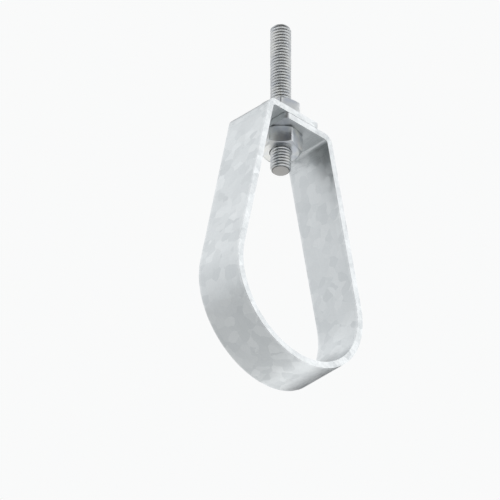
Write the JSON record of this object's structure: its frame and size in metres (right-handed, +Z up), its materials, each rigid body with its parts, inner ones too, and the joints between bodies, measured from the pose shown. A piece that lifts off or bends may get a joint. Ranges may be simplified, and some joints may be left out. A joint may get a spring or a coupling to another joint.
{
  "type": "band hanger",
  "caption": "Adjustable steel band hanger: a flat strip bent to a pear-shaped loop that carries a pipe, hung from a threaded rod by nuts above and below its lapped head.",
  "frame": {"origin": "on the carried pipe's axis, at the band's mid-width", "axes": "+Y along the pipe, +Z up the rod, +X across both, towards the end of the head's upper layer"},
  "size_m": [0.0796, 0.0254, 0.1901],
  "materials": {
    "galvanised_strip": "galvanised, pale grey",
    "plated_rod": "bright zinc plated",
    "plated_nut": "bright zinc plated"
  },
  "bodies": {
    "rod": {"threaded_rod": "plated_rod"},
    "band": {"band": "galvanised_strip"},
    "lower_nut": {"lower_nut": "plated_nut"},
    "upper_nut": {"upper_nut": "plated_nut"}
  },
  "joints": [
    {"name": "band_height", "type": "slide", "parent": "rod", "child": "band", "axis": [0, 0, 1], "range_m": [-0.00953, 0.03175]},
    {"name": "lower_nut_turn", "type": "hinge", "parent": "band", "child": "lower_nut", "pos_m": [0, 0, 0.086], "axis": [0, 0, 1], "range_deg": [-2160, 7200]},
    {"name": "upper_nut_turn", "type": "hinge", "parent": "band", "child": "upper_nut", "pos_m": [0, 0, 0.1017], "axis": [0, 0, 1], "range_deg": [-2160, 7200]}
  ],
  "couplings": [
    {"joint": "lower_nut_turn", "follows": "band_height", "rad_per_m": 3957.9},
    {"joint": "upper_nut_turn", "follows": "band_height", "rad_per_m": 3957.9}
  ]
}
